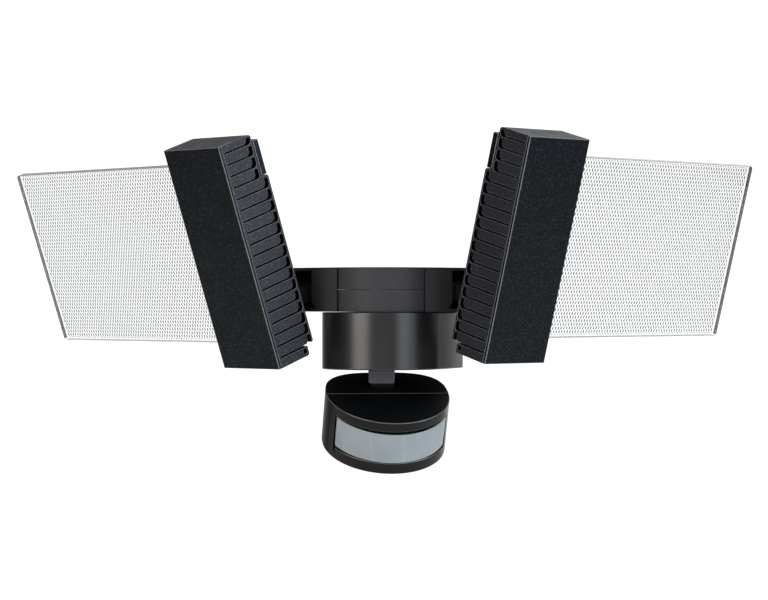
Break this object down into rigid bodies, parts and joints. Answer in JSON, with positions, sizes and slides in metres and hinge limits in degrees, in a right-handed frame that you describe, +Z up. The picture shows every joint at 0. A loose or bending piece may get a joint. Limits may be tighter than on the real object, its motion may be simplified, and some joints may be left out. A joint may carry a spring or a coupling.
{
  "type": "motion sensor floodlight",
  "caption": "Wall-mounted security floodlight: clear edge-lit panel lamp heads on stacked swivel collars over a drum canopy, with a tilting half-round motion sensor below.",
  "frame": {"origin": "centre of the wall plate's flat back face", "axes": "+Y out of the back of the wall plate, into the wall; -Y is the front; +X to the right seen from the front, along the longest extent; +Z up"},
  "size_m": [0.6356, 0.4039, 0.2943],
  "materials": {
    "zinc_steel": "zinc-plated steel",
    "black_rubber": "matt black rubber",
    "canopy_black": "satin black moulded plastic drum with soft broad highlights",
    "circuit_board": "solder-masked board",
    "transformer_tape": "yellow winding tape",
    "component_sleeve": "dark component sleeve",
    "terminal_nylon": "off-white nylon",
    "arm_black": "satin dark grey-black moulding",
    "lamp_black": "black powder-coated die-cast aluminium with a fine speckle",
    "clear_acrylic": "clear polished acrylic with a grid of small etched dots",
    "bare_aluminium": "bare extruded aluminium",
    "neck_grey": "satin dark blue-grey moulding",
    "sensor_black": "satin black moulded plastic",
    "lens_white": "milky translucent polyethylene lens",
    "dial_grey": "dark grey moulded dial"
  },
  "bodies": {
    "root": {"wall_plate": "zinc_steel", "wire_grommet": "black_rubber", "canopy_seal": "black_rubber", "canopy_housing": "canopy_black", "driver_board": "circuit_board", "transformer": "transformer_tape", "bulk_capacitor": "component_sleeve", "relay": "component_sleeve", "terminal_block": "terminal_nylon", "hinge_post": "zinc_steel", "friction_washer": "black_rubber", "spacer_sleeve": "zinc_steel", "post_cap": "arm_black"},
    "left_arm": {"left_arm": "arm_black", "left_tilt_pin": "zinc_steel"},
    "right_arm": {"right_arm": "arm_black", "right_tilt_pin": "zinc_steel"},
    "left_head": {"left_knuckle": "arm_black", "left_lamp_housing": "lamp_black", "left_front_cover": "lamp_black", "left_driver_cover": "lamp_black", "left_light_panel": "clear_acrylic", "left_panel_seal": "black_rubber", "left_led_strip": "circuit_board", "left_heat_spreader": "bare_aluminium", "left_knuckle_screw_1": "zinc_steel", "left_knuckle_screw_2": "zinc_steel"},
    "right_head": {"right_knuckle": "arm_black", "right_lamp_housing": "lamp_black", "right_front_cover": "lamp_black", "right_driver_cover": "lamp_black", "right_light_panel": "clear_acrylic", "right_panel_seal": "black_rubber", "right_led_strip": "circuit_board", "right_heat_spreader": "bare_aluminium", "right_knuckle_screw_1": "zinc_steel", "right_knuckle_screw_2": "zinc_steel"},
    "sensor_neck": {"sensor_neck": "neck_grey", "sensor_tilt_pin": "zinc_steel"},
    "sensor_head": {"sensor_front_shell": "sensor_black", "sensor_rear_shell": "sensor_black", "fresnel_lens": "lens_white", "sensor_board": "circuit_board", "pyro_detector": "zinc_steel"},
    "time_dial": {"time_dial": "dial_grey"},
    "range_dial": {"range_dial": "dial_grey"}
  },
  "joints": [
    {"name": "left_arm_swivel", "type": "hinge", "parent": "root", "child": "left_arm", "pos_m": [0, -0.066, 0.025], "axis": [0, 0, 1], "range_deg": [-46, 25]},
    {"name": "right_arm_swivel", "type": "hinge", "parent": "root", "child": "right_arm", "pos_m": [0, -0.066, 0.025], "axis": [0, 0, 1], "range_deg": [-64, 7]},
    {"name": "left_head_tilt", "type": "hinge", "parent": "left_arm", "child": "left_head", "pos_m": [-0.06457, -0.08267, 0.025], "axis": [0.8996, -0.4368, 0], "range_deg": [-49, 10]},
    {"name": "right_head_tilt", "type": "hinge", "parent": "right_arm", "child": "right_head", "pos_m": [0.06091, -0.03885, 0.025], "axis": [0.4321, 0.9018, 0], "range_deg": [-45, 14]},
    {"name": "sensor_swivel", "type": "hinge", "parent": "root", "child": "sensor_neck", "pos_m": [0, -0.066, -0.044], "axis": [0, 0, 1], "range_deg": [-90, 29]},
    {"name": "sensor_tilt", "type": "hinge", "parent": "sensor_neck", "child": "sensor_head", "pos_m": [0.00283, -0.07071, -0.063], "axis": [0.8572, 0.515, 0], "range_deg": [-30, 10]},
    {"name": "time_dial_turn", "type": "hinge", "parent": "sensor_head", "child": "time_dial", "pos_m": [-0.01765, -0.06381, -0.09552], "axis": [0.2575, -0.4286, 0.866], "range_deg": [-135, 135]},
    {"name": "range_dial_turn", "type": "hinge", "parent": "sensor_head", "child": "range_dial", "pos_m": [0.00635, -0.04939, -0.09552], "axis": [0.2575, -0.4286, 0.866], "range_deg": [-135, 135]}
  ]
}
